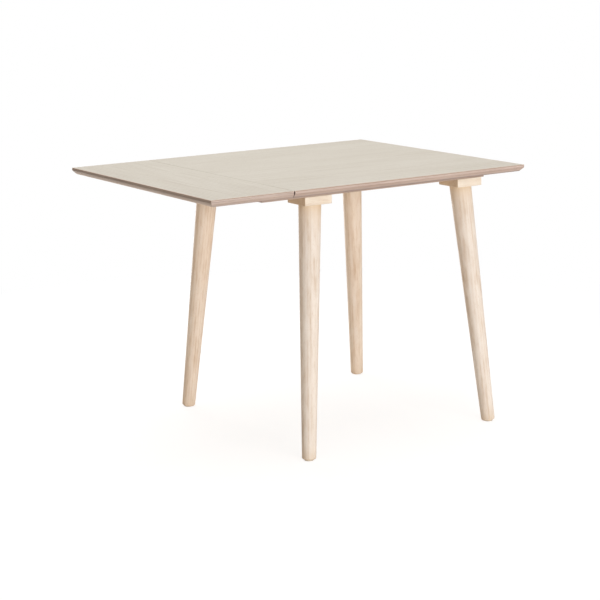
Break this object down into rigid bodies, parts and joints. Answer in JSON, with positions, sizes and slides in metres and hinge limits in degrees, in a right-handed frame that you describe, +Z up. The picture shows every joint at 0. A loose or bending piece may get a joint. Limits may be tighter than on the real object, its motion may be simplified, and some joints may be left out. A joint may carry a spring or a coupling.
{
  "type": "extending dining table",
  "caption": "Square dining table on splayed turned legs, with a loose end leaf located by pins and carried on pull-out bearers.",
  "frame": {"origin": "on the floor under the middle of the extended table, at the centre of the bounding box's bottom", "axes": "+X along the length from the leaf to the far end of the main top, +Y from the front to the rear, +Z up"},
  "size_m": [0.9982, 0.774, 0.735],
  "materials": {
    "face_veneer": "pale pigmented oak veneer, matt lacquer",
    "backing_veneer": "plain balancing veneer, matt",
    "board_core": "raw board core",
    "edge_lipping": "pigmented oak lipping, matt lacquer",
    "leg_wood": "pale turned hardwood, satin lacquer",
    "block_wood": "pale hardwood, satin lacquer",
    "bearer_wood": "pigmented hardwood, matt lacquer",
    "pin_wood": "turned beech, raw",
    "zinc_steel": "bright zinc plate",
    "nylon": "matt moulded nylon"
  },
  "bodies": {
    "table": {"block_insert_front_left": "zinc_steel", "block_insert_front_right": "zinc_steel", "block_insert_rear_left": "zinc_steel", "block_insert_rear_right": "zinc_steel", "block_screws_front_left": "zinc_steel", "block_screws_front_right": "zinc_steel", "block_screws_rear_left": "zinc_steel", "block_screws_rear_right": "zinc_steel", "foot_glide_front_left": "nylon", "foot_glide_front_right": "nylon", "foot_glide_rear_left": "nylon", "foot_glide_rear_right": "nylon", "front_guide_screws": "zinc_steel", "front_guide_washers": "zinc_steel", "leg_block_front_left": "block_wood", "leg_block_front_right": "block_wood", "leg_block_rear_left": "block_wood", "leg_block_rear_right": "block_wood", "leg_bolt_front_left": "zinc_steel", "leg_bolt_front_right": "zinc_steel", "leg_bolt_rear_left": "zinc_steel", "leg_bolt_rear_right": "zinc_steel", "leg_front_left": "leg_wood", "leg_front_right": "leg_wood", "leg_rear_left": "leg_wood", "leg_rear_right": "leg_wood", "main_backing_veneer": "backing_veneer", "main_core": "board_core", "main_end_lipping": "edge_lipping", "main_face_veneer": "face_veneer", "main_front_lipping": "edge_lipping", "main_joint_lipping": "edge_lipping", "main_rear_lipping": "edge_lipping", "pin_sockets": "nylon", "rear_guide_screws": "zinc_steel", "rear_guide_washers": "zinc_steel"},
    "leaf": {"leaf_backing_veneer": "backing_veneer", "leaf_core": "board_core", "leaf_end_lipping": "edge_lipping", "leaf_face_veneer": "face_veneer", "leaf_front_lipping": "edge_lipping", "leaf_joint_lipping": "edge_lipping", "leaf_pins": "pin_wood", "leaf_rear_lipping": "edge_lipping"},
    "front_bearer": {"front_bearer": "bearer_wood"},
    "rear_bearer": {"rear_bearer": "bearer_wood"}
  },
  "joints": [
    {"name": "leaf_pull", "type": "slide", "parent": "table", "child": "leaf", "axis": [-1, 0, 0], "range_m": [0, 0.12]},
    {"name": "front_bearer_slide", "type": "slide", "parent": "table", "child": "front_bearer", "axis": [1, 0, 0], "range_m": [0, 0.062]},
    {"name": "rear_bearer_slide", "type": "slide", "parent": "table", "child": "rear_bearer", "axis": [1, 0, 0], "range_m": [0, 0.062]}
  ]
}
